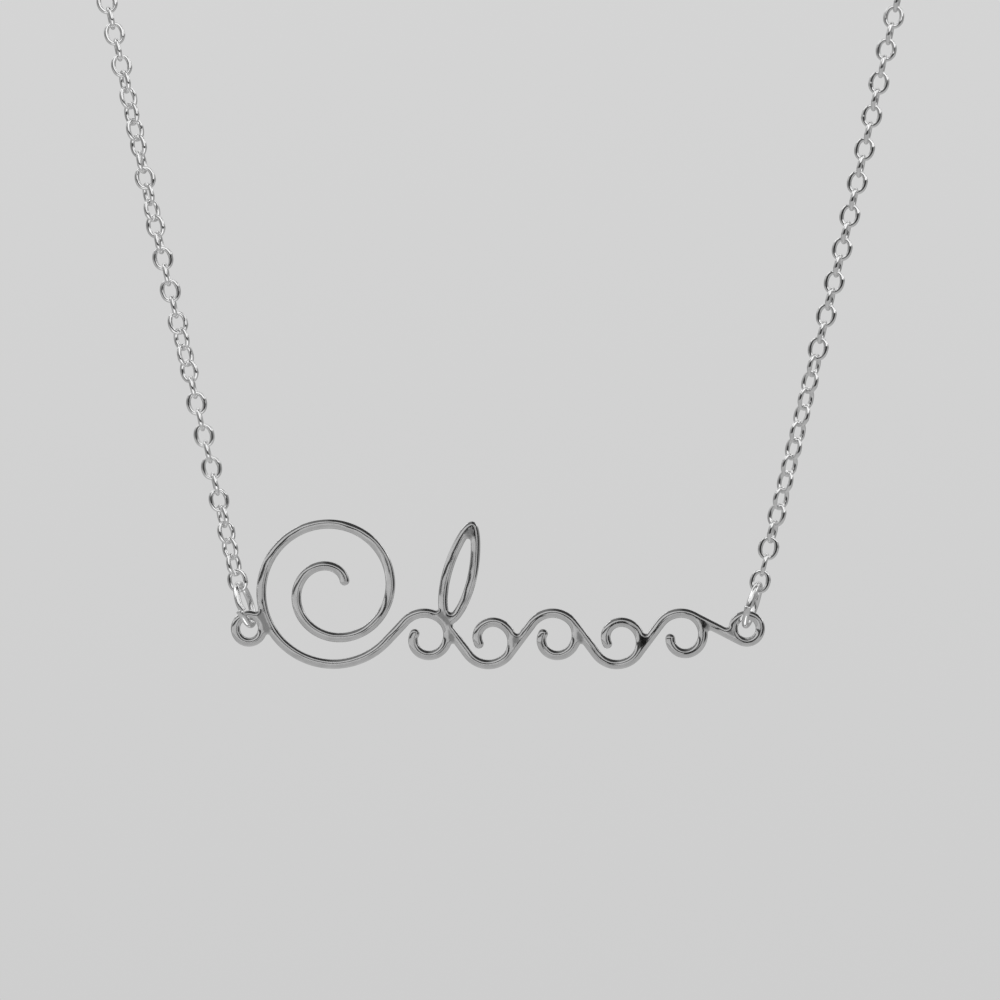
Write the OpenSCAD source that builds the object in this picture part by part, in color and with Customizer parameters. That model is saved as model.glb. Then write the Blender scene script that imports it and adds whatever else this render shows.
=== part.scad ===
// Necklace with an openwork plate of fine scrollwork between two strands of cable chain.
// The plate hangs from two jump rings, and the chain closes behind the neck with a plain clasp.
// Millimetres, +Z up. The front of the plate faces -Y. The origin is where the chain rests at the nape.

/* [Plate] */
// Distance between the centres of the two eyes
eye_span = 44.8; // [44:0.1:48]
// Width of every stroke of the scrollwork
stroke_w = 0.77; // [0.7:0.01:0.84]
// Thickness of the plate, front to back
plate_t = 0.9; // [0.8:0.05:1]
// Depth of the step that eases the front and back edges
edge_ease = 0.12; // [0.08:0.01:0.14]
// Radius of the web where two strokes meet
web_r = 0.25; // [0.2:0.05:0.35]
// Hole of each eye
eye_hole_d = 1.62; // [1.58:0.01:1.8]

/* [Scrollwork] */
// Radius of the large volute, to the middle of its stroke, as a share of the eye span
volute_share = 0.15; // [0.14:0.0025:0.155]
// Radius of the small scrolls, to the middle of the stroke, as a share of their spacing
scroll_share = 0.4; // [0.38:0.005:0.42]
// Number of small scrolls along the stem
scroll_count = 5; // [5:2:5]
// Length of the leaf
leaf_l = 8.7; // [7:0.1:9]
// Width of the leaf, between the middles of its strokes
leaf_w = 2.3; // [2.0:0.1:2.6]
// Lean of the leaf to the right, in degrees
leaf_lean = 14; // [8:1:18]

/* [Jump Rings] */
// Outer diameter of the two rings that hold the plate
ring_d = 4.4; // [4:0.1:4.6]
// Wire of the two rings that hold the plate
ring_wire = 0.6; // [0.5:0.02:0.62]
// Opening between the cut ends of a ring, in degrees
ring_cut = 6; // [3:1:10]

/* [Chain] */
// Spacing of the links along the chain
link_pitch = 1.54; // [1.5:0.01:1.7]
// Wire of a link
link_wire = 0.3; // [0.26:0.01:0.32]
// Outer width of a link
link_w = 1.88; // [1.8:0.02:1.96]

/* [Clasp] */
// Outer diameter of the clasp
clasp_d = 6.0; // [5.5:0.1:7]
// Tube of the clasp
clasp_wire = 1.0; // [0.8:0.05:1.1]
// Outer diameter of the ring at each end of the chain
end_ring_d = 3.2; // [3.0:0.1:3.8]
// Wire of the ring at each end of the chain
end_ring_wire = 0.5; // [0.4:0.02:0.5]

/* [Loop] */
// Half the width of the loop at its widest
loop_half_w = 46; // [42:0.5:50]
// Depth of the loop, from the plate to the nape
loop_depth = 84; // [78:0.5:92]
// Height of the nape above the middle of the eyes
loop_rise = 90; // [84:0.5:96]

/* [Hidden] */
// Running clearance between parts that hang in each other, and at the two hinge eyes
hang_gap = 0.1;
eye_gap = 0.12;
// Clearance between neighbouring links
link_gap = 0.12;
// Middle radius of an eye's wall
eye_r = eye_hole_d / 2 + stroke_w / 2;
// Height of the hinge line, through the top wall of both eyes
axis_z = eye_r;
// Farthest that an eye's wall reaches from the hinge line, past its eased edges
wall_reach = max(norm([stroke_w / 2, plate_t / 2 - edge_ease]), norm([stroke_w / 2 - edge_ease, plate_t / 2]));
// Distance from the hinge line down to the middle of the ring wire in the eye
axis_drop = wall_reach + eye_gap + ring_wire / 2;
// Middle radii of the rings
ring_r = (ring_d - ring_wire) / 2;
end_ring_r = (end_ring_d - end_ring_wire) / 2;
clasp_r = (clasp_d - clasp_wire) / 2;
// Outer length of a link, so that the next link just fails to touch
link_l = link_pitch + 2 * link_wire + link_gap;
// From a link's centre to the middle of the wire at its end
link_reach = (link_l - link_wire) / 2;
// From a link's centre to the centre of the ring that it hangs in
link_to_ring = link_reach + ring_r - ring_wire / 2 - link_wire / 2 - hang_gap;
link_to_end_ring = link_reach + end_ring_r - end_ring_wire / 2 - link_wire / 2 - hang_gap;
// Lean of each front ring away from upright, left and right, in degrees
ring_lean = [14, 15];
// Turn of each front ring about its own length, front to the left, in degrees
ring_turn = 8;
// Way from each front ring's centre to the first link, away from upright, in degrees
strand_pull = [20, 24];
// How far each strand is drawn out, as a share of the pitch: the twisted left one hangs shorter
strand_draw = [0.958, 1];

// How far the cut of each front ring sits below its middle, in degrees
ring_cut_drop = 10;

// Small eye on the clasp, and the row of parts that closes the chain
clasp_eye_r = 0.85;
clasp_eye_wire = 0.6;
clasp_eye_x = clasp_r + clasp_wire / 2 + clasp_eye_r;
left_ring_off = clasp_eye_x + clasp_eye_r - clasp_eye_wire / 2 - end_ring_wire / 2 - hang_gap + end_ring_r;
right_ring_off = clasp_r - clasp_wire / 2 - end_ring_wire / 2 - hang_gap + end_ring_r;
// The clasp sits aside of the middle so that both strands end alike
clasp_shift = (left_ring_off - right_ring_off) / 2;
strand_end = (left_ring_off + right_ring_off) / 2 + link_to_end_ring;

// Route of each strand above its first link: share of the loop's half width, share of its depth,
// share of its height, and the way the strand faces, in degrees from straight ahead
right_route = [
    [0.602, 0.002, 0.2286, 0],
    [0.687, 0.008, 0.4086, 2],
    [0.7745, 0.026, 0.6086, 8],
    [0.852, 0.062, 0.766, 22],
    [0.934, 0.158, 0.886, 48],
    [0.990, 0.330, 0.960, 76],
    [1.008, 0.520, 0.998, 96],
    [0.894, 0.736, 1.006, 122],
    [0.640, 0.888, 1.004, 148],
    [0.360, 0.974, 1.002, 168]
];
left_route = [
    [0.591, 0.002, 0.2286, 0],
    [0.673, 0.008, 0.4086, 2],
    [0.758, 0.026, 0.6086, 8],
    [0.842, 0.062, 0.766, 22],
    [0.930, 0.158, 0.886, 48],
    [0.990, 0.330, 0.960, 76],
    [1.008, 0.520, 0.998, 96],
    [0.894, 0.736, 1.006, 122],
    [0.640, 0.888, 1.004, 148],
    [0.360, 0.974, 1.002, 168]
];
// Twist of each strand: distance along it if it were fully drawn out, and the turn of its links
right_twist = [[0, 0], [3.2, 0], [7.2, 45], [19, 45], [21.8, 14], [150, 14], [170, 0], [180, 0]];
left_twist = [
    [0, 12], [2, 40], [4, 50], [8, 78], [10, 90], [18.6, 90], [21, 135], [23.5, 135], [26, 180], [32, 180],
    [36, 225], [39.5, 270], [42.5, 315], [47, 315], [50, 346], [150, 346], [170, 360], [180, 360]
];

// Steps that measure a strand's length
route_steps = 220;
ring_facets = 48;
link_facets = 18;
wire_sides = 6;

silver = [0.78, 0.79, 0.80];
bright_silver = [0.86, 0.87, 0.88];

// Point on a smooth curve through the middle two of four points
function curve4(a, b, c, d, t) =
    0.5 * (2 * b + (c - a) * t + (2 * a - 5 * b + 4 * c - d) * t * t + (3 * b - a - 3 * c + d) * t * t * t);
// Point on a smooth curve through a list of points, u counting points from the first
function curve(p, u) =
    let (n = len(p) - 1, i = min(max(floor(u), 0), n - 1), b = p[i], c = p[i + 1])
    let (a = i > 0 ? p[i - 1] : 2 * b - c, d = i < n - 1 ? p[i + 2] : 2 * c - b)
    curve4(a, b, c, d, u - i);
// First three values of a point
function xyz(p) = [p[0], p[1], p[2]];
function unit(v) = v / norm(v);

// Centre of the ring at a strand's lower end, side -1 left or 1 right
function ring_centre(side, lean) =
    [side * (eye_span / 2 + (ring_r - axis_drop) * sin(lean)), 0, axis_z + (ring_r - axis_drop) * cos(lean)];
// Whole route of a strand, from its first link to its last, seen from the middle of the eyes
function strand(side, lean, pull, shares) = concat(
    [concat(ring_centre(side, lean) + link_to_ring * [side * sin(pull), 0, cos(pull)], 0)],
    [for (p = shares) [side * p[0] * loop_half_w, p[1] * loop_depth, p[2] * loop_rise, side * p[3]]],
    [[side * strand_end, loop_depth, loop_rise, side * 180]]
);
// Running length of a route at each step: [length, place on the curve]
function route_place(p, k) = min(k, route_steps) * (len(p) - 1) / route_steps;
function route_point(p, k) = xyz(curve(p, route_place(p, k)));
function lengths(p) = [
    for (k = 0, s = 0; k <= route_steps; s = s + norm(route_point(p, k + 1) - route_point(p, k)), k = k + 1)
        [s, route_place(p, k)]
];

left_strand = strand(-1, ring_lean[0], strand_pull[0], left_route);
right_strand = strand(1, ring_lean[1], strand_pull[1], right_route);
left_lengths = lengths(left_strand);
right_lengths = lengths(right_strand);

// Straight line that leaves one circle and meets the next; a circle is [x, z, radius, way round]
function line_way(c, d) =
    let (v = [d[0] - c[0], d[1] - c[1]])
    atan2(v[1], v[0]) + asin((c[3] * c[2] - d[3] * d[2]) / norm(v));
function on_circle(c, way) = [c[0], c[1]] + c[3] * c[2] * [sin(way), -cos(way)];
// Angle of a point round a circle, given the way a stroke runs there
function round_angle(c, way) = way - 90 * c[3];
// Angle b, moved by whole turns so that it follows a in the way round
function follow(a, b, turn) = turn * (b - a) < 0 ? follow(a, b + 360 * turn, turn) : b;
// Points of a stroke that winds about a centre while its radius changes, less and less towards its end
function winding(x, z, r0, r1, a0, a1, steps, power = 1) = [
    for (k = [0 : steps])
        let (u = k / steps, r = r0 + (r1 - r0) * pow(sin(90 * u), power), a = a0 + (a1 - a0) * u)
        [x + r * cos(a), z + r * sin(a)]
];

// Shares of the eye span: left eye to the volute's middle, volute's middle to the first scroll,
// last scroll to the right eye, and the foot of the scrollwork below the eyes
place_shares = [0.168, 0.184, 0.132, 0.072];
foot = place_shares[3] * eye_span;
volute_r = volute_share * eye_span;
first_scroll_x = (place_shares[0] + place_shares[1] - 0.5) * eye_span;
last_scroll_x = (0.5 - place_shares[2]) * eye_span;
scroll_step = (last_scroll_x - first_scroll_x) / (scroll_count - 1);
scroll_r = scroll_share * scroll_step;
scroll_z = scroll_r - foot;
// Circles that the stem follows: the volute, the small scrolls and the right eye
volute_c = [(place_shares[0] - 0.5) * eye_span, volute_r - foot, volute_r, 1];
stem_circles = concat(
    [volute_c],
    [for (k = [0 : scroll_count - 1]) [first_scroll_x + k * scroll_step, scroll_z, scroll_r, k % 2 == 0 ? -1 : 1]],
    [[eye_span / 2, 0, eye_r, 1]]
);
stem_ways = [for (i = [0 : len(stem_circles) - 2]) line_way(stem_circles[i], stem_circles[i + 1])];
// Where the stroke meets and leaves each small scroll, in degrees round it
scroll_in = [for (i = [1 : scroll_count]) round_angle(stem_circles[i], stem_ways[i - 1])];
scroll_out = [
    for (i = [1 : scroll_count])
        follow(scroll_in[i - 1], round_angle(stem_circles[i], stem_ways[i]), stem_circles[i][3])
];
volute_turn = 640;
volute_inner_r = 0.2 * volute_r;
volute_steps = 112;
curl_start = 4;
curl_turn = 249;
curl_inner_r = 0.42 * scroll_r;
curl_steps = 20;
arc_steps = 12;
volute_out = round_angle(volute_c, stem_ways[0]);
stem = concat(
    winding(volute_c[0], volute_c[1], volute_inner_r, volute_r, volute_out - volute_turn, volute_out, volute_steps),
    [
        for (i = [1 : scroll_count])
            each winding(stem_circles[i][0], stem_circles[i][1], scroll_r, scroll_r,
                scroll_in[i - 1], scroll_out[i - 1], arc_steps)
    ],
    [on_circle(stem_circles[scroll_count + 1], stem_ways[scroll_count])]
);
// The leaf grows from the outer side of the first scroll's shoulder
leaf_base = [stem_circles[1][0], scroll_z] + 1.2 * scroll_r * [cos(38), sin(38)];
leaf_steps = 26;

// Closed outline of a stroke along a line of points
module stroke(p) {
    n = len(p) - 1;
    side = [
        for (i = [0 : n])
            let (t = unit(p[min(i + 1, n)] - p[max(i - 1, 0)]))
            stroke_w / 2 * [-t[1], t[0]]
    ];
    polygon(concat([for (i = [0 : n]) p[i] + side[i]], [for (i = [n : -1 : 0]) p[i] - side[i]]));
    for (e = [p[0], p[n]])
        translate(e)
            circle(d = stroke_w, $fn = 20);
}

// One side of the leaf, from its base to its tip
module leaf_side(side) {
    translate(leaf_base)
        rotate(-leaf_lean)
            stroke([
                for (k = [0 : leaf_steps])
                    let (u = k / leaf_steps)
                    [side * leaf_w / 2 * pow(sin(180 * pow(u, 0.85)), 0.6), u * leaf_l]
            ]);
}

// Flat outline of the whole plate, with a web in each crotch and the hole of each eye
module plate_outline() {
    difference() {
        offset(r = -web_r, $fn = 24)
            offset(delta = web_r) {
                stroke(stem);
                for (i = [1 : scroll_count])
                    let (c = stem_circles[i], start = scroll_out[i - 1] - curl_start * c[3])
                    stroke(winding(c[0], c[1], scroll_r, curl_inner_r, start, start + c[3] * curl_turn, curl_steps, 1.4));
                leaf_side(-1);
                leaf_side(1);
                for (x = [-1, 1])
                    translate([x * eye_span / 2, 0])
                        circle(r = eye_r + stroke_w / 2, $fn = ring_facets);
            }
        for (x = [-1, 1])
            translate([x * eye_span / 2, 0])
                circle(d = eye_hole_d, $fn = ring_facets);
    }
}

// Moves a part from the middle of the eyes to the nape's frame
module hung() {
    translate([0, -loop_depth, -loop_rise])
        children();
}

// Openwork plate with an eye at each end, one solid
module nameplate() {
    color(silver)
        hung()
            rotate([90, 0, 0])
                translate([0, 0, -plate_t / 2]) {
                    translate([0, 0, edge_ease])
                        linear_extrude(height = plate_t - 2 * edge_ease)
                            plate_outline();
                    linear_extrude(height = plate_t)
                        offset(delta = -edge_ease)
                            plate_outline();
                }
}

// Round ring in the XY plane, with its cut ends facing +X
module cut_ring(r, wire, cut) {
    rotate(cut / 2)
        rotate_extrude(angle = 360 - cut, $fn = ring_facets)
            translate([r, 0])
                circle(d = wire, $fn = 24);
}

// Ring that joins one eye of the plate to a strand
module jump_ring(side, lean) {
    color(bright_silver)
        hung()
            translate(ring_centre(side, lean))
                rotate([0, side * lean, 0])
                    rotate([ring_cut_drop, 0, -ring_turn])
                        rotate([0, 90, 0])
                            rotate(-90)
                                cut_ring(ring_r, ring_wire, ring_cut);
}

module jump_ring_left() {
    jump_ring(-1, ring_lean[0]);
}

module jump_ring_right() {
    jump_ring(1, ring_lean[1]);
}

// Oval link, lying in the XY plane with its length along X
module link() {
    bend_r = (link_w - link_wire) / 2;
    half_run = link_reach - bend_r;
    for (end = [-1, 1])
        translate([end * half_run, 0])
            rotate(end > 0 ? -90 : 90)
                rotate_extrude(angle = 180, $fn = link_facets)
                    translate([bend_r, 0])
                        circle(d = link_wire, $fn = wire_sides);
    for (side = [-1, 1])
        translate([-half_run, side * bend_r])
            rotate([90, 0, 90])
                linear_extrude(height = 2 * half_run)
                    circle(d = link_wire, $fn = wire_sides);
}

// Odd number of links that fills a strand, and one link at its place
function link_count(total) = 2 * round((total / link_pitch - 1) / 2) + 1;
module link_at(route, table, twist, draw, i, count) {
    total = table[route_steps][0];
    s = total * i / (count - 1);
    u = lookup(s, table);
    here = curve(route, u);
    along = unit(xyz(curve(route, u + 0.02)) - xyz(curve(route, u - 0.02)));
    out = [sin(here[3]), -cos(here[3]), 0];
    face = unit(out - (out * along) * along);
    across = cross(face, along);
    turn = lookup(s / draw, twist) + 90 * (i % 2);
    normal = face * cos(turn) + across * sin(turn);
    wide = cross(normal, along);
    multmatrix([
        [along[0], wide[0], normal[0], here[0]],
        [along[1], wide[1], normal[1], here[1]],
        [along[2], wide[2], normal[2], here[2]],
        [0, 0, 0, 1]
    ])
        link();
}

module chain(route, table, twist, draw) {
    count = link_count(table[route_steps][0] / draw);
    color(bright_silver)
        hung()
            for (i = [0 : count - 1])
                link_at(route, table, twist, draw, i, count);
}

module chain_left() {
    chain(left_strand, left_lengths, left_twist, strand_draw[0]);
}

module chain_right() {
    chain(right_strand, right_lengths, right_twist, strand_draw[1]);
}

// Plain round clasp with a small eye and a thumb knob, one solid
module clasp() {
    color(silver)
        translate([clasp_shift, 0, 0])
            rotate([90, 0, 0]) {
                cut_ring(clasp_r, clasp_wire, 0);
                translate([-clasp_eye_x, 0])
                    cut_ring(clasp_eye_r, clasp_eye_wire, 0);
                rotate(50)
                    translate([clasp_r, 0, 0])
                        rotate([0, 90, 0])
                            cylinder(d = 0.5, h = 1.3, $fn = 24);
            }
}

// Ring between the clasp and one strand
module clasp_ring(x) {
    color(bright_silver)
        translate([x, 0, 0])
            rotate([0, 0, 100])
                cut_ring(end_ring_r, end_ring_wire, ring_cut);
}

module clasp_ring_left() {
    clasp_ring(clasp_shift - left_ring_off);
}

module clasp_ring_right() {
    clasp_ring(clasp_shift + right_ring_off);
}

nameplate();
jump_ring_left();
jump_ring_right();
chain_left();
chain_right();
clasp();
clasp_ring_left();
clasp_ring_right();
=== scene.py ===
import math

import bpy
import numpy as np
from mathutils import Matrix, Vector
from mathutils.geometry import delaunay_2d_cdt


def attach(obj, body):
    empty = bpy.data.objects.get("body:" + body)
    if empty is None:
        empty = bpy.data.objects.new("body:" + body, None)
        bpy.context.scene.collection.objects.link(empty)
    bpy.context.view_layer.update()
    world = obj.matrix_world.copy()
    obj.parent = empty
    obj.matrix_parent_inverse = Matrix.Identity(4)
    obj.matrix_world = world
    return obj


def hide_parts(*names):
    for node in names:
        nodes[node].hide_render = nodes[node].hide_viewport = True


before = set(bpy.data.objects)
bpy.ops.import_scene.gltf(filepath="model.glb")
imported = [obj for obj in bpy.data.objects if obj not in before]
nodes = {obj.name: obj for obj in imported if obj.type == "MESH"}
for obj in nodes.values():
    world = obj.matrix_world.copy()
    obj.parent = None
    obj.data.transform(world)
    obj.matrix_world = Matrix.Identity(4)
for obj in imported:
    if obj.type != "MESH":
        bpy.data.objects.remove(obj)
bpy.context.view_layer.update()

# Camera
# It stands level with the plate and straight in front of it, far off, so that the plate and the
# lower part of both strands fill the picture and the rest of the loop rises past its top edge.
MM = 0.001
PLATE_Y = -84 * MM
EYE_Z = -90 * MM
VIEW_WIDTH = 90 * MM
VIEW_DISTANCE = 0.8
VIEW_ASIDE = 0.19 * MM
VIEW_RISE = 11.57 * MM

camera_data = bpy.data.cameras.new("camera")
camera_data.sensor_width = 36
camera_data.lens = camera_data.sensor_width * VIEW_DISTANCE / VIEW_WIDTH
camera_data.clip_start = 0.01
camera_data.clip_end = 20
camera = bpy.data.objects.new("camera", camera_data)
camera.location = (VIEW_ASIDE, PLATE_Y - VIEW_DISTANCE, EYE_Z + VIEW_RISE)
camera.rotation_euler = (math.pi / 2, 0, 0)
bpy.context.scene.collection.objects.link(camera)
bpy.context.scene.camera = camera
bpy.context.scene.view_settings.view_transform = "Standard"

# Studio
# The metal mirrors pale air, a dark hood on the camera's side, and lamps that stand in the hood as
# bright panels. The plate, the rings and each strand have panels of their own. The floor is plain
# pale paper, and the camera sees an even pale backdrop in place of the hood.

# Grey of the air in front and behind, as (share of the way from straight below to straight above, level)
FRONT_AIR = [
    (0, 0.5),
    (0.1, 0.45),
    (0.2, 0.42),
    (0.4, 0.45),
    (0.48, 0.22),
    (0.62, 0.25),
    (0.74, 0.85),
    (1, 0.95),
]
BACK_AIR = [(0, 0.5), (0.3, 0.36), (0.5, 0.3), (0.62, 0.34), (0.74, 0.8), (0.85, 0.95), (1, 0.95)]
# Where the front air begins and where it is full, as the part ahead of a unit direction
FRONT_EDGE = (0.08, -0.08)
# Each edge of the hood in the same way, from where its shade begins to where it is full
HOOD_WEST = (-0.92, -0.8)
HOOD_EAST = (0.88, 0.76)
HOOD_FOOT = (-0.28, -0.16)
HOOD_BACK = (0.45, 0.3)
# Shares of the light that the hood takes away in its west and in its east, and where they change
HOOD_SHADES = (0.8, 0.95)
HOOD_CHANGE = (-0.2, 0.1)
# Grey of the backdrop straight ahead, and what it gains towards straight above
BACKDROP_LEVEL = 0.64
BACKDROP_RISE = 0.38


class Sock:
    """One output of a node tree, with the operators of ordinary arithmetic."""

    def __init__(self, tree, out=None):
        self.tree, self.out = tree, out

    def node(self, kind, inputs=(), out=0, stops=(), **settings):
        """Adds a node to the tree, its settings and ramp stops first, and gives one of its outputs."""
        made = self.tree.nodes.new(kind)
        for key, value in settings.items():
            setattr(made, key, value)
        for place, level in stops[2:]:
            made.color_ramp.elements.new(place)
        for n, (place, level) in enumerate(stops):
            made.color_ramp.elements[n].position = place
            made.color_ramp.elements[n].color = (level, level, level, 1)
        for key, value in dict(inputs).items():
            if isinstance(value, Sock):
                self.tree.links.new(value.out, made.inputs[key])
            else:
                made.inputs[key].default_value = value
        return Sock(self.tree, made.outputs[out] if len(made.outputs) else None)

    def maths(self, operation, first, second):
        return self.node("ShaderNodeMath", {0: first, 1: second}, operation=operation)

    def __add__(self, other):
        return self.maths("ADD", self, other)

    def __radd__(self, other):
        return self.maths("ADD", other, self)

    def __sub__(self, other):
        return self.maths("SUBTRACT", self, other)

    def __rsub__(self, other):
        return self.maths("SUBTRACT", other, self)

    def __mul__(self, other):
        return self.maths("MULTIPLY", self, other)

    def __rmul__(self, other):
        return self.maths("MULTIPLY", other, self)

    def step(self, start, end, low=0.0, high=1.0):
        """Smooth change from low to high while this goes from start to end."""
        spread = {"From Min": start, "From Max": end, "To Min": low, "To Max": high}
        return self.node("ShaderNodeMapRange", {"Value": self, **spread}, interpolation_type="SMOOTHSTEP")


def studio_air():
    """The world: what the metal mirrors, and the plain backdrop that the camera sees."""
    world = bpy.data.worlds.new("studio")
    world.use_nodes = True
    world.node_tree.nodes.clear()
    air = Sock(world.node_tree)
    way = air.node("ShaderNodeTexCoord", out="Generated")
    across, ahead, up = (air.node("ShaderNodeSeparateXYZ", {0: way}, out=i) for i in range(3))
    front = ahead.step(*FRONT_EDGE)
    height = up * 0.5 + 0.5
    front_air, back_air = (
        air.node("ShaderNodeValToRGB", {0: height}, stops=stops) for stops in (FRONT_AIR, BACK_AIR)
    )
    hood = across.step(*HOOD_WEST) * across.step(*HOOD_EAST) * up.step(*HOOD_FOOT) * ahead.step(*HOOD_BACK)
    shade = hood * across.step(*HOOD_CHANGE, *HOOD_SHADES)
    mirrored = (front_air * front + back_air * (1 - front)) * (1 - shade)
    to_camera = air.node("ShaderNodeLightPath", out="Is Camera Ray")
    seen = mirrored * (1 - to_camera) + (up * BACKDROP_RISE + BACKDROP_LEVEL) * to_camera
    air.node("ShaderNodeOutputWorld", {"Surface": air.node("ShaderNodeBackground", {"Color": seen})})
    return world


bpy.context.scene.world = studio_air()


def lamp(name, place, aim, width, height, power, lit=None):
    """A flat lamp at a place, turned towards a point, which lights everything or one group of pieces."""
    data = bpy.data.lights.new(name, "AREA")
    data.shape = "RECTANGLE"
    data.size, data.size_y, data.energy = width, height, power
    made = bpy.data.objects.new(name, data)
    made.location = place
    made.rotation_euler = (Vector(aim) - Vector(place)).to_track_quat("-Z", "Y").to_euler()
    bpy.context.scene.collection.objects.link(made)
    made.visible_camera = False
    made.light_linking.receiver_collection = lit


groups = ("plates", "rings", "left_links", "right_links", "floors")
plates, rings, left_links, right_links, floors = (bpy.data.collections.new(name) for name in groups)
PLATE_MIDDLE = (0, -0.084, -0.085)
STRAND_MIDDLE = (0, -0.08, -0.05)
# Name, place, aim, width and height in metres, power in watts, and the group that it lights.
# The panels of a group lie side by side, because the glints of two that overlapped would add up.
lamp("floor_light", (0.0, 0.0, 1.2), (0, 0, 0), 3.0, 3.0, 22.0, floors)
lamp("key_light", (-0.75, 0.05, 0.75), STRAND_MIDDLE, 0.5, 0.5, 1.0)
lamp("fill_light", (0.8, 0.0, 0.5), STRAND_MIDDLE, 0.4, 0.4, 0.5)
lamp("plate_front", (-0.1356, -0.2929, -0.1068), PLATE_MIDDLE, 0.377, 0.07, 0.0402, plates)
lamp("plate_upper", (-0.0807, -0.349, 0.0298), PLATE_MIDDLE, 0.796, 0.09, 0.108, plates)
lamp("plate_right", (0.1099, -0.363, -0.0955), PLATE_MIDDLE, 0.122, 0.1275, 0.0192, plates)
lamp("ring_front", (0.05, -0.584, 0.139), PLATE_MIDDLE, 1.1, 0.315, 0.92, rings)
lamp("ring_west", (-0.41, -0.194, 0.339), PLATE_MIDDLE, 0.56, 0.44, 0.58, rings)
lamp("ring_top", (0.07, -0.386, 0.498), PLATE_MIDDLE, 0.9, 0.52, 1.24, rings)
lamp("ring_below", (0.0, -0.08, -0.285), (0, -0.08, 0), 0.08, 0.25, 0.07, rings)
lamp("left_top", (0.1, -0.515, 0.403), STRAND_MIDDLE, 0.75, 0.94, 2.15, left_links)
lamp("left_below", (0.0, -0.2965, -0.205), STRAND_MIDDLE, 0.25, 0.16, 0.088, left_links)
lamp("left_west", (-0.347, -0.44, 0.1), STRAND_MIDDLE, 0.24, 0.7, 0.115, left_links)
lamp("left_east", (0.347, -0.44, 0.1), STRAND_MIDDLE, 0.24, 0.7, 0.115, left_links)
lamp("right_top", (0.14, -0.48, 0.5), STRAND_MIDDLE, 0.85, 0.85, 2.25, right_links)
lamp("right_west", (-0.39, -0.4, 0.1), STRAND_MIDDLE, 0.22, 0.7, 0.12, right_links)
lamp("right_east", (0.39, -0.4, 0.1), STRAND_MIDDLE, 0.22, 0.7, 0.12, right_links)

FLOOR_HALF = 1.3
FLOOR_Z = -0.3


def pale_paper():
    """Matt paper with a faint grain."""
    made = bpy.data.materials.new("pale_paper")
    made.use_nodes = True
    made.node_tree.nodes.clear()
    paper = Sock(made.node_tree)
    place = paper.node("ShaderNodeTexCoord", out="Object")
    grain = paper.node("ShaderNodeTexNoise", {"Vector": place, "Scale": 60.0, "Detail": 6.0})
    skin = paper.node("ShaderNodeBsdfDiffuse", {"Color": grain * 0.04 + 0.74, "Roughness": 1.0})
    paper.node("ShaderNodeOutputMaterial", {"Surface": skin})
    return made


floor_corners = [(x * FLOOR_HALF, y * FLOOR_HALF, FLOOR_Z) for x, y in ((-1, -1), (1, -1), (1, 1), (-1, 1))]
floor_mesh = bpy.data.meshes.new("floor")
floor_mesh.from_pydata(floor_corners, [], [(0, 1, 2, 3)])
floor_mesh.materials.append(pale_paper())
floor = bpy.data.objects.new("floor", floor_mesh)
bpy.context.scene.collection.objects.link(floor)
floors.objects.link(floor)
floor.visible_glossy = False

# Plate
# Openwork scrollwork cut from one silver sheet with an eye at each end, and polished until every stroke
# is full and round in front. Its back is flat with a tight edge, and a soft web fills every crotch.
# Its outline is the level line of a field of distances to the strokes. Sizes are in millimetres.
STROKE = 0.77
PLATE_T = 0.9
WEB_R = 0.25
EYE_SPAN = 44.8
EYE_HOLE = 1.62
EYE_R = (EYE_HOLE + STROKE) / 2
# Shares of the eye span: left eye to volute, volute to first scroll, and last scroll to right eye
TO_VOLUTE, TO_SCROLLS, TO_RIGHT_EYE = 0.168, 0.184, 0.132
VOLUTE_R = 0.15 * EYE_SPAN
FOOT = 0.072 * EYE_SPAN
# Degrees that the volute winds through, and the share of its radius that is left inside
VOLUTE_TURN = 640
VOLUTE_INNER = 0.2
SCROLLS = 5
# Radius of a scroll, as a share of the scrolls' spacing
SCROLL_SHARE = 0.4
# A curl goes on round its scroll from just before the stem leaves it, in degrees past that point
CURL_FROM, CURL_TO = -4, 245
# Share of the scroll's radius at a curl's end, and the power by which it tightens
CURL_INNER = 0.42
CURL_POWER = 1.4
LEAF_L, LEAF_W, LEAF_LEAN = 8.7, 2.3, 14
# The leaf's foot, in degrees round the first scroll and as a share of its radius
LEAF_AT, LEAF_OFF = 38, 1.2
# Powers that set how low the leaf is widest and how full its sides are
LEAF_BELLY, LEAF_FULLNESS = 0.85, 0.6


def winding(centre, first_r, last_r, first_angle, last_angle, steps, power=1):
    """Points of a stroke that winds about a centre; its radius changes less and less towards its end."""
    share = np.linspace(0, 1, steps + 1)
    radius = first_r + (last_r - first_r) * np.sin(np.pi / 2 * share) ** power
    angle = np.radians(first_angle + (last_angle - first_angle) * share)
    return np.c_[centre[0] + radius * np.cos(angle), centre[1] + radius * np.sin(angle)]


def line_way(start, end):
    """Direction of the straight line from one circle to the next; a circle is (x, z, radius, way round)."""
    x, z, radius, turn = start
    end_x, end_z, end_radius, end_turn = end
    bend = math.asin((turn * radius - end_turn * end_radius) / math.hypot(end_x - x, end_z - z))
    return math.degrees(math.atan2(end_z - z, end_x - x) + bend)


def follow(a, b, turn):
    """Angle b, moved by whole turns so that it follows a in the way round."""
    while turn * (b - a) < 0:
        b += 360 * turn
    return b


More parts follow.
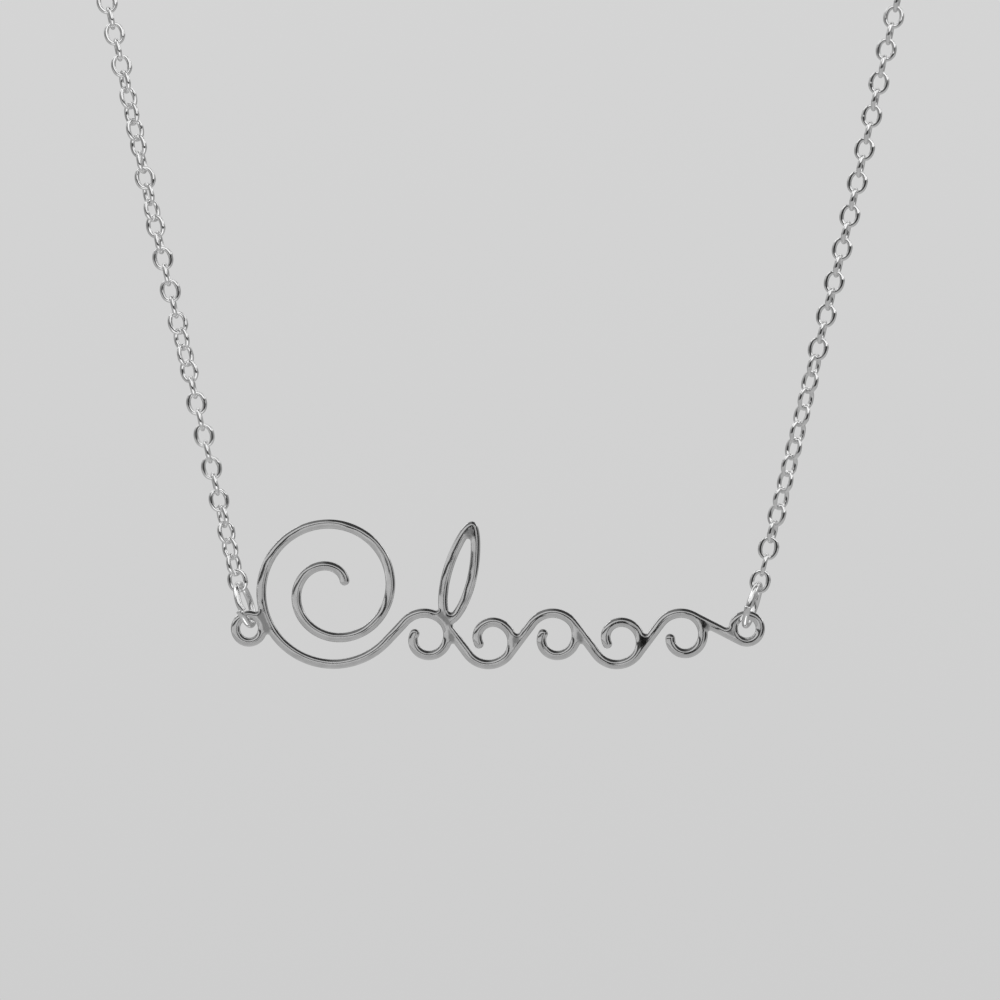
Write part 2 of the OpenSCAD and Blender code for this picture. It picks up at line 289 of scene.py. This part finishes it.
def scrollwork():
    """The middle lines of all strokes, as lists of points from the middle between the eyes."""
    volute = ((TO_VOLUTE - 0.5) * EYE_SPAN, VOLUTE_R - FOOT, VOLUTE_R, 1)
    first_x, last_x = (TO_VOLUTE + TO_SCROLLS - 0.5) * EYE_SPAN, (0.5 - TO_RIGHT_EYE) * EYE_SPAN
    places = np.linspace(first_x, last_x, SCROLLS)
    scroll_r = SCROLL_SHARE * (places[1] - places[0])
    scroll_z = scroll_r - FOOT
    scrolls = [(x, scroll_z, scroll_r, 1 if k % 2 else -1) for k, x in enumerate(places)]
    circles = [volute, *scrolls, (EYE_SPAN / 2, 0, EYE_R, 1)]
    ways = [line_way(start, end) for start, end in zip(circles, circles[1:])]
    leave = ways[0] - 90
    stem = [winding(volute, VOLUTE_INNER * VOLUTE_R, VOLUTE_R, leave - VOLUTE_TURN, leave, steps=260)]
    strokes = []
    for scroll, way_in, way_out in zip(scrolls, ways, ways[1:]):
        turn = scroll[3]
        arrive = way_in - 90 * turn
        leave = follow(arrive, way_out - 90 * turn, turn)
        stem.append(winding(scroll, scroll_r, scroll_r, arrive, leave, steps=40))
        curl = (leave + CURL_FROM * turn, leave + CURL_TO * turn)
        strokes.append(winding(scroll, scroll_r, CURL_INNER * scroll_r, *curl, steps=90, power=CURL_POWER))
    end = math.radians(ways[-1] - 90)
    stem.append([[EYE_SPAN / 2 + EYE_R * math.cos(end), EYE_R * math.sin(end)]])
    strokes.append(np.vstack(stem))
    share = np.linspace(0, 1, 60)
    lean, at = math.radians(-LEAF_LEAN), math.radians(LEAF_AT)
    foot = (
        scrolls[0][0] + LEAF_OFF * scroll_r * math.cos(at),
        scroll_z + LEAF_OFF * scroll_r * math.sin(at),
    )
    for side in (-1, 1):
        x, z = side * LEAF_W / 2 * np.sin(np.pi * share**LEAF_BELLY) ** LEAF_FULLNESS, share * LEAF_L
        leaf = np.c_[x * math.cos(lean) - z * math.sin(lean), x * math.sin(lean) + z * math.cos(lean)]
        strokes.append(leaf + foot)
        strokes.append(winding((side * EYE_SPAN / 2, 0), EYE_R, EYE_R, 0, 360, steps=60))
    return strokes


FIELD_STEP = 0.05
# Farthest from the webbed outline that the field is measured
FIELD_REACH = 1.6
# Keeps a doubled point of a stroke from a division by nothing
NO_LENGTH = 1e-12
# The polished strokes are this much fuller than the solid's on each side; the eye holes aren't
PLUMP = 0.045
GRID_WEST, GRID_EAST = -26, 26
GRID_FOOT, GRID_TOP = -5, 11.5
grid_x = np.arange(GRID_WEST, GRID_EAST, FIELD_STEP)
grid_z = np.arange(GRID_FOOT, GRID_TOP, FIELD_STEP)


def reach(lines, far):
    """Distance from every point of the grid to the nearest of some lines, up to far."""
    nearest = np.full((len(grid_x), len(grid_z)), far)
    for points in lines:
        for start, end in zip(points, points[1:]):
            low, high = np.minimum(start, end) - far, np.maximum(start, end) + far
            west, east = np.searchsorted(grid_x, (low[0], high[0]))
            under, over = np.searchsorted(grid_z, (low[1], high[1]))
            x, z = np.meshgrid(grid_x[west:east] - start[0], grid_z[under:over] - start[1], indexing="ij")
            run_x, run_z = end - start
            share = np.clip((x * run_x + z * run_z) / (run_x * run_x + run_z * run_z + NO_LENGTH), 0, 1)
            here = nearest[west:east, under:over]
            np.minimum(here, np.hypot(x - share * run_x, z - share * run_z), out=here)
    return nearest


def read(values, points):
    """Values of the grid at points, blended between its corners."""
    u, v = (points[:, 0] - grid_x[0]) / FIELD_STEP, (points[:, 1] - grid_z[0]) / FIELD_STEP
    i, j = np.floor(u).astype(int), np.floor(v).astype(int)
    u, v = u - i, v - j
    low = values[i, j] * (1 - u) + values[i + 1, j] * u
    high = values[i, j + 1] * (1 - u) + values[i + 1, j + 1] * u
    return low * (1 - v) + high * v


def level_loops(values):
    """Closed lines of points where the grid's values are zero, found from square to square."""
    inside = values < 0
    corners_in = inside[:-1, :-1].astype(int) + inside[1:, :-1] + inside[:-1, 1:] + inside[1:, 1:]
    neighbours = {}
    for i, j in zip(*np.nonzero((corners_in > 0) & (corners_in < 4))):
        corners = [(i, j), (i + 1, j), (i + 1, j + 1), (i, j + 1)]
        sides = zip(corners, corners[1:] + corners[:1])
        cuts = [tuple(sorted(side)) for side in sides if inside[side[0]] != inside[side[1]]]
        for a, b in zip(cuts[::2], cuts[1::2]):
            neighbours.setdefault(a, []).append(b)
            neighbours.setdefault(b, []).append(a)
    loops = []
    while neighbours:
        line = []
        cut = next(iter(neighbours))
        while cut:
            (a, b), (c, d) = cut
            share = values[a, b] / (values[a, b] - values[c, d])
            x, z = grid_x[a] + share * (grid_x[c] - grid_x[a]), grid_z[b] + share * (grid_z[d] - grid_z[b])
            line.append((x, z))
            beside = neighbours.pop(cut)
            cut = next((other for other in beside if other in neighbours), None)
        loops.append(np.array(line + line[:1]))
    return loops


def plate_field():
    """How far every point of the grid is past the outline, negative inside it, and what the webs add."""
    strokes = reach(scrollwork(), STROKE / 2 + 2 * WEB_R) - STROKE / 2
    webbed = reach(level_loops(strokes - WEB_R), FIELD_REACH)
    past = WEB_R - np.where(strokes < WEB_R, webbed, -webbed)
    web = strokes - past
    past = past - PLUMP
    x, z = np.meshgrid(grid_x, grid_z, indexing="ij")
    for side in (-1, 1):
        past = np.maximum(past, EYE_HOLE / 2 - np.hypot(x - side * EYE_SPAN / 2, z))
    return past, web


past_outline, web_added = plate_field()
slope_x, slope_z = np.gradient(past_outline, FIELD_STEP)
# Spacing of the points along the outline
SPACING = 0.12
BACK_EDGE = 0.1
BACK_INSETS = (0.33, 0.22)
# The front is round from the outline to this far in, and stands this much higher there
FRONT_INSET = 0.38
FRONT_RISE = 0.21
FRONT_POWER = 1.6
FRONT_SHARES = (1, 0.975, 0.91, 0.81, 0.68, 0.52, 0.36, 0.22, 0.11, 0.04)
# Below this depth the flats take points of their own, on every fourth line of the grid
MIDDLE_DEPTH = 0.475
MIDDLE_EVERY = 4
# Points closer than this are one
SAME_POINT = 1e-7
# Least square of the slope that points are moved by, because it fades between two outlines
LEAST_SLOPE = 0.3


def settle(points, depth):
    """Moves points along the slope until they lie that deep inside the outline."""
    for attempt in range(3):
        past, tilt_x, tilt_z = (read(values, points) for values in (past_outline, slope_x, slope_z))
        move = (past + depth) / np.maximum(tilt_x**2 + tilt_z**2, LEAST_SLOPE)
        points = points - move[:, None] * np.c_[tilt_x, tilt_z]
    return points


def even_loop(line):
    """A closed line set out in even steps on the outline, with the metal on its left."""
    run = np.r_[0, np.cumsum(np.hypot(*np.diff(line, axis=0).T))]
    count = int(round(run[-1] / SPACING))
    at = np.arange(count) * run[-1] / count
    loop = settle(np.c_[np.interp(at, run, line[:, 0]), np.interp(at, run, line[:, 1])], 0)
    step = np.roll(loop, -1, 0) - loop
    if np.sum(step[:, 1] * read(slope_x, loop) - step[:, 0] * read(slope_z, loop)) < 0:
        loop = loop[::-1]
    return loop


def plate_rows():
    """Rows of (inset, y) from the flat of the back, round its edge and over the full front."""
    half = PLATE_T / 2
    rows = [(inset, half) for inset in BACK_INSETS]
    for angle in np.radians((0, 30, 60, 90)):
        rows.append((BACK_EDGE * (1 - math.sin(angle)), half - BACK_EDGE * (1 - math.cos(angle))))
    for share in FRONT_SHARES:
        rows.append((FRONT_INSET * (1 - share), FRONT_RISE * (1 - math.sqrt(1 - share**FRONT_POWER)) - half))
    return rows


def band(a, b, count):
    """Faces between two closed rows of points, which begin at a and at b."""
    return [(a + k, a + (k + 1) % count, b + (k + 1) % count, b + k) for k in range(count)]


def enclosed(points, loops):
    """Whether each point lies inside the closed lines, by how often a ray to its right crosses them."""
    inside = np.zeros(len(points), bool)
    for loop in loops:
        for (x, z), (next_x, next_z) in zip(loop, np.roll(loop, -1, 0)):
            if z != next_z:
                level = (z > points[:, 1]) != (next_z > points[:, 1])
                inside ^= level & (points[:, 0] < x + (points[:, 1] - z) * (next_x - x) / (next_z - z))
    return inside


def flat_triangles(loops):
    """Points and triangles that fill the flat inside the loops, and the given points each point came from."""
    starts = np.cumsum([0] + [len(loop) for loop in loops])
    edges = [(s + k, s + (k + 1) % n) for s, n in zip(starts, np.diff(starts)) for k in range(n)]
    x, z = np.meshgrid(grid_x[:-2:MIDDLE_EVERY], grid_z[:-2:MIDDLE_EVERY], indexing="ij")
    middle = np.c_[x.ravel(), z.ravel()]
    points = np.vstack([*loops, middle[read(past_outline, middle) < -MIDDLE_DEPTH]])
    points = [Vector(point) for point in points]
    # No faces are given, and output type 0 keeps all triangles, inside the loops and outside
    got, sides, triangles, sources, *rest = delaunay_2d_cdt(points, edges, [], 0, SAME_POINT)
    got = np.array(got)
    inside = enclosed(got[np.array(triangles)].mean(1), loops)
    return got, [triangle for triangle, kept in zip(triangles, inside) if kept], sources


def plate_shape():
    """The plate's points, faces and share of web: rows stepped inward from the outline, and two flats."""
    rows = plate_rows()
    verts, faces, rims, firsts = [], [], [], []
    for line in level_loops(past_outline):
        loop = even_loop(line)
        placed = {}
        for inset in sorted({inset for inset, y in rows}):
            loop = placed[inset] = settle(loop, inset)
        first, count = len(verts), len(loop)
        for inset, y in rows:
            verts += [(x, y, z) for x, z in placed[inset]]
        for row in range(len(rows) - 1):
            faces += band(first + row * count, first + (row + 1) * count, count)
        rims.append(loop)
        firsts.append(first)
    got, triangles, sources = flat_triangles(rims)
    used = sorted({k for triangle in triangles for k in triangle})
    for row, way_round in ((0, -1), (len(rows) - 1, 1)):
        at_rim = [first + row * len(rim) + k for first, rim in zip(firsts, rims) for k in range(len(rim))]
        index = {}
        for k in used:
            known = [at_rim[source] for source in sources[k] if source < len(at_rim)]
            index[k] = known[0] if known else len(verts)
            if not known:
                verts.append((got[k][0], rows[row][1], got[k][1]))
        faces += [[index[k] for k in triangle[::way_round]] for triangle in triangles]
    verts = np.array(verts)
    return verts, faces, read(web_added, verts[:, ::2])


def smooth_object(name, verts, faces):
    """An object with a smoothly shaded mesh, from points in metres."""
    mesh = bpy.data.meshes.new(name)
    mesh.from_pydata([tuple(v) for v in verts], [], faces)
    mesh.polygons.foreach_set("use_smooth", [True] * len(mesh.polygons))
    mesh.update()
    made = bpy.data.objects.new(name, mesh)
    bpy.context.scene.collection.objects.link(made)
    return made


def fit(piece, node, body, group):
    """Puts a finished piece in its node's place, on its body and among the pieces that its lamps light."""
    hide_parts(node)
    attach(piece, body)
    group.objects.link(piece)


# Scales are per metre: clouds of about 1 mm, grit of 0.07 mm, and scratches 1 mm long and 0.06 mm apart
CLOUD_SCALE = 900.0
GRIT_SCALE = 14000.0
SCRATCH_SCALE = (16000, 16000, 900)
SCRATCH_TURN = (0.3, 0.5, 0.4)


def polished(name, tones, roughness, wave, wave_size, scratch, crotch_shade=1.0):
    """Polished silver: clouded tone, painted shade in the webs, uneven gloss, fine scratches and a slight
    wave.

    The wave's height and size and the scratches' depth are in millimetres. Where a web is full, its tone
    is multiplied by crotch_shade, as painted shade of the hollow between strokes.
    """
    made = bpy.data.materials.new(name)
    made.use_nodes = True
    made.node_tree.nodes.clear()
    metal = Sock(made.node_tree)
    place = metal.node("ShaderNodeTexCoord", out="Object")
    cloud = metal.node("ShaderNodeTexNoise", {"Vector": place, "Scale": CLOUD_SCALE, "Detail": 3.0})
    swell = metal.node("ShaderNodeTexNoise", {"Vector": place, "Scale": 1000.0 / wave_size, "Detail": 1.0})
    grit = metal.node("ShaderNodeTexNoise", {"Vector": place, "Scale": GRIT_SCALE, "Detail": 4.0})
    drawn_out = {"Vector": place, "Rotation": SCRATCH_TURN, "Scale": SCRATCH_SCALE}
    stretched = metal.node("ShaderNodeMapping", drawn_out)
    hair = metal.node("ShaderNodeTexNoise", {"Vector": stretched, "Scale": 1.0, "Detail": 2.0})
    scratches = hair.step(0.62, 0.7)
    web = metal.node("ShaderNodeAttribute", out="Fac", attribute_name="web")
    # Painted shade: the tone darkens where a web fills the hollow between strokes, standing in for its shadow
    painted_crotch_shade = (web + cloud * 0.08).step(0.06, 0.3, 1.0, crotch_shade)
    tone = (cloud.step(0.3, 0.7, *tones) - scratches * 0.03) * painted_crotch_shade
    gloss = grit.step(0.35, 0.75, *roughness) + scratches * 0.06 + cloud.step(0.45, 0.75) * 0.04
    waved = metal.node("ShaderNodeBump", {"Strength": 1.0, "Distance": wave * MM, "Height": swell})
    relief = {"Distance": scratch * MM, "Height": grit * 0.5 + scratches, "Normal": waved}
    fine = metal.node("ShaderNodeBump", {"Strength": 1.0, **relief})
    look = {"Base Color": tone, "Metallic": 1.0, "Roughness": gloss, "Normal": fine}
    metal.node("ShaderNodeOutputMaterial", {"Surface": metal.node("ShaderNodeBsdfPrincipled", look)})
    return made


plate_verts, plate_faces, plate_web = plate_shape()
plate = smooth_object("scroll_plate", plate_verts * MM + (0, PLATE_Y, EYE_Z), plate_faces)
plate.data.attributes.new("web", "FLOAT", "POINT").data.foreach_set("value", plate_web)
plate_metal = polished(
    "polished_plate",
    tones=(0.76, 0.86),
    roughness=(0.07, 0.12),
    wave=0.25,
    wave_size=3.2,
    scratch=0.0004,
    # Painted shade: the webs' tone is halved, standing in for the shadow in the hollows
    crotch_shade=0.5,
)
plate.data.materials.append(plate_metal)
fit(plate, "nameplate", "plate", plates)

# Jump rings
# Two rings of round silver wire that hang the plate's eyes from the strands. Each was twisted open
# sideways and closed again, so its ends step past each other at the cut, more so on the left ring.
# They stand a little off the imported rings, clear of the plate's swing. Millimetres and degrees.
RING_D = 4.4
RING_WIRE = 0.6
RING_R = (RING_D - RING_WIRE) / 2
RING_STEPS = 150
RING_SIDES = 24
# The higher this power, the closer to its ends the ring begins to step aside
SPRING_POWER = 14
satin_metal = polished(
    "satin_wire",
    tones=(0.86, 0.94),
    roughness=(0.16, 0.24),
    wave=0.02,
    wave_size=0.9,
    scratch=0.0003,
)


def tube(path, out, radius, sides, closed=False):
    """Points and faces of a round wire along a path; out points away from the path's own centre."""
    count = len(path)
    way = np.roll(path, -1, 0) - np.roll(path, 1, 0) if closed else np.gradient(path, axis=0)
    way /= np.linalg.norm(way, axis=1)[:, None]
    out = out - way * np.sum(out * way, 1)[:, None]
    out /= np.linalg.norm(out, axis=1)[:, None]
    side = np.cross(way, out)
    angle = np.linspace(0, 2 * math.pi, sides, endpoint=False)[None, :, None]
    radius = np.broadcast_to(radius, (count,))[:, None, None]
    verts = path[:, None] + radius * (np.cos(angle) * out[:, None] + np.sin(angle) * side[:, None])
    faces = []
    for k in range(count if closed else count - 1):
        faces += band(k * sides, (k + 1) % count * sides, sides)
    if not closed:
        faces += [tuple(range(sides))[::-1], tuple((count - 1) * sides + j for j in range(sides))]
    return verts.reshape(-1, 3), faces


def ring_frame(name):
    """Centre of a packed ring and three directions: along its hang, to the front, and through it."""
    points = np.array([v.co for v in nodes[name].data.vertices])
    centre = (points.min(0) + points.max(0)) / 2
    sizes, axes = np.linalg.eigh(np.cov((points - centre).T))
    through = axes[:, 0] * np.sign(axes[0, 0])
    upward = np.array((0, 0, 1.0)) - through * through[2]
    upward /= np.linalg.norm(upward)
    return centre, upward, np.cross(through, upward), through


def turned(a, b, angle):
    """Two square directions, turned in their plane so that a moves towards b."""
    cosine, sine = math.cos(math.radians(angle)), math.sin(math.radians(angle))
    return cosine * a + sine * b, cosine * b - sine * a


def sprung_ring(name, node, lean, turn, shift, cut_at, past, spring):
    """A ring near its node, whose ends run past the cut by some degrees and step aside by spring."""
    centre, upward, forward, through = ring_frame(node)
    upward, through = turned(upward, through, lean)
    forward, through = turned(forward, through, -turn)
    centre = centre + MM * np.array(shift)
    round_way = np.radians(np.linspace(cut_at + past, cut_at - 360 - past, RING_STEPS))
    along = np.linspace(-1, 1, RING_STEPS)
    aside = spring * np.sign(along) * np.abs(along) ** SPRING_POWER
    radial = np.cos(round_way)[:, None] * upward + np.sin(round_way)[:, None] * forward
    path = centre + MM * (RING_R * radial + aside[:, None] * through)
    ring = smooth_object(name, *tube(path, radial, RING_WIRE / 2 * MM, RING_SIDES))
    ring.data.materials.append(satin_metal)
    fit(ring, node, "necklace", rings)


sprung_ring(
    "ring_left",
    "jump_ring_left",
    lean=-3,
    turn=6,
    shift=(-0.14, 0.15, 0.03),
    cut_at=105,
    past=2,
    spring=-0.2,
)
sprung_ring(
    "ring_right",
    "jump_ring_right",
    lean=3,
    turn=2,
    shift=(0.24, -0.15, 0),
    cut_at=95,
    past=1,
    spring=-0.06,
)

# Chain
# Both strands of the silver cable chain, of soldered oval links. One link is repeated at the place and
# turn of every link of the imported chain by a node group, which also turns each a hair of its own.
LINK_L = 2.25
LINK_W = 1.88
LINK_WIRE = 0.43
LINK_STEPS = 40
LINK_SIDES = 14
# Share by which the link's four shoulders stand out from an oval
SHOULDER = 0.025
# Shares of the wire that rubbing takes at the link's ends and that solder adds at its seam
WORN = 0.12
SOLDER = 0.12
# The seam's place and half its width, in radians round the link
SEAM_AT = 1.9
SEAM_HALF = 0.16
# Largest turn of a link about its own length, in degrees, and the share of it about its other axes
LOOSE_TURN = 3
OTHER_TURN = 0.3
bright_metal = polished(
    "bright_wire",
    tones=(0.86, 0.94),
    roughness=(0.06, 0.12),
    wave=0.02,
    wave_size=0.7,
    scratch=0.0003,
)


def oval_link():
    """One link: its wire is thinner at the two ends, where links rub, with a solder seam on one side."""
    angle = np.linspace(0, 2 * math.pi, LINK_STEPS, endpoint=False)
    x, y = np.cos(angle) * (LINK_L - LINK_WIRE) / 2, np.sin(angle) * (LINK_W - LINK_WIRE) / 2
    path = np.c_[x, y, 0 * angle] * (1 + SHOULDER * np.sin(2 * angle) ** 2)[:, None]
    out = np.c_[np.cos(angle), np.sin(angle), 0 * angle]
    past_seam = (angle - SEAM_AT + math.pi) % (2 * math.pi) - math.pi
    thick = 1 + SOLDER * np.exp(-((past_seam / SEAM_HALF) ** 2)) - WORN * np.cos(angle) ** 2
    return smooth_object("link", *tube(path * MM, out, LINK_WIRE / 2 * MM * thick, LINK_SIDES, closed=True))


def link_places(node):
    """Centre and turn of each loose link of a packed chain."""
    mesh = nodes[node].data
    corners = np.array([v.co for v in mesh.vertices])
    corners, same = np.unique(np.round(corners, 7), axis=0, return_inverse=True)
    pairs = same.ravel()[np.array([edge.vertices for edge in mesh.edges])]
    label = np.zeros(len(corners), int)
    lower = np.arange(len(corners))
    while (lower != label).any():
        label = lower
        least = np.minimum(label[pairs[:, 0]], label[pairs[:, 1]])
        lower = label.copy()
        np.minimum.at(lower, pairs[:, 0], least)
        np.minimum.at(lower, pairs[:, 1], least)
        lower = lower[lower]
    centres, turns = [], []
    for k in np.unique(label):
        link_corners = corners[label == k]
        centre = link_corners.mean(0)
        sizes, axes = np.linalg.eigh(np.cov((link_corners - centre).T))
        along, through = axes[:, 2], axes[:, 0]
        turns.append(Matrix(np.c_[along, np.cross(through, along), through]).to_euler())
        centres.append(centre)
    return np.array(centres), np.array([tuple(turn) for turn in turns])


def strand_group():
    """Node group that puts a link at every point, gives each a small turn of its own, and sets the metal."""
    group = bpy.data.node_groups.new("links_at_points", "GeometryNodeTree")
    kinds = {
        "Points": "Geometry",
        "Link": "Object",
        "Loose turn": "Float",
        "Seed": "Int",
        "Metal": "Material",
    }
    for name, kind in kinds.items():
        group.interface.new_socket(name, in_out="INPUT", socket_type="NodeSocket" + kind)
    group.interface.new_socket("Chain", in_out="OUTPUT", socket_type="NodeSocketGeometry")
    tree = Sock(group)
    points, pattern, most, seed, metal = (tree.node("NodeGroupInput", out=i) for i in range(len(kinds)))
    shape = tree.node("GeometryNodeObjectInfo", {"Object": pattern}, out="Geometry")
    turn = tree.node("GeometryNodeInputNamedAttribute", {"Name": "turn"}, data_type="FLOAT_VECTOR")
    facing = tree.node("FunctionNodeEulerToRotation", {0: turn})
    setting = {"Points": points, "Instance": shape, "Rotation": facing}
    placed = tree.node("GeometryNodeInstanceOnPoints", setting)
    other = most * OTHER_TURN
    highest = tree.node("ShaderNodeCombineXYZ", {0: most, 1: other, 2: other})
    lowest = tree.node("ShaderNodeCombineXYZ", {0: most * -1, 1: other * -1, 2: other * -1})
    limits = {0: lowest, 1: highest, "Seed": seed}
    own = tree.node("FunctionNodeRandomValue", limits, data_type="FLOAT_VECTOR")
    own_turn = tree.node("FunctionNodeEulerToRotation", {0: own})
    turning = {"Instances": placed, "Rotation": own_turn, "Local Space": True}
    loose = tree.node("GeometryNodeRotateInstances", turning)
    real = tree.node("GeometryNodeRealizeInstances", {"Geometry": loose})
    dressed = tree.node("GeometryNodeSetMaterial", {"Geometry": real, "Material": metal})
    tree.node("NodeGroupOutput", {0: dressed})
    return group


link = oval_link()
links_at_points = strand_group()


def strand(name, node, seed, group):
    """One strand of the chain as a plain mesh."""
    centres, turns = link_places(node)
    mesh = bpy.data.meshes.new(name + "_points")
    mesh.from_pydata([tuple(centre) for centre in centres], [], [])
    mesh.attributes.new("turn", "FLOAT_VECTOR", "POINT").data.foreach_set("vector", turns.ravel())
    made = bpy.data.objects.new(name, mesh)
    bpy.context.scene.collection.objects.link(made)
    modifier = made.modifiers.new("links", "NODES")
    modifier.node_group = links_at_points
    given = {"Link": link, "Loose turn": math.radians(LOOSE_TURN), "Seed": seed, "Metal": bright_metal}
    for item in links_at_points.interface.items_tree:
        if item.in_out == "INPUT" and item.name in given:
            modifier[item.identifier] = given[item.name]
    ready = made.evaluated_get(bpy.context.evaluated_depsgraph_get())
    real = bpy.data.meshes.new_from_object(ready)
    made.modifiers.clear()
    made.data = real
    fit(made, node, "necklace", group)


strand("strand_left", "chain_left", 3, left_links)
strand("strand_right", "chain_right", 8, right_links)
bpy.data.objects.remove(link)

# Clasp
# The hidden closing behind the neck: a plain round clasp with its small eye and thumb knob, and the
# ring between it and each strand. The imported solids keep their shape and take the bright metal.
for name in ("clasp", "clasp_ring_left", "clasp_ring_right"):
    nodes[name].data.materials.clear()
    nodes[name].data.materials.append(bright_metal)
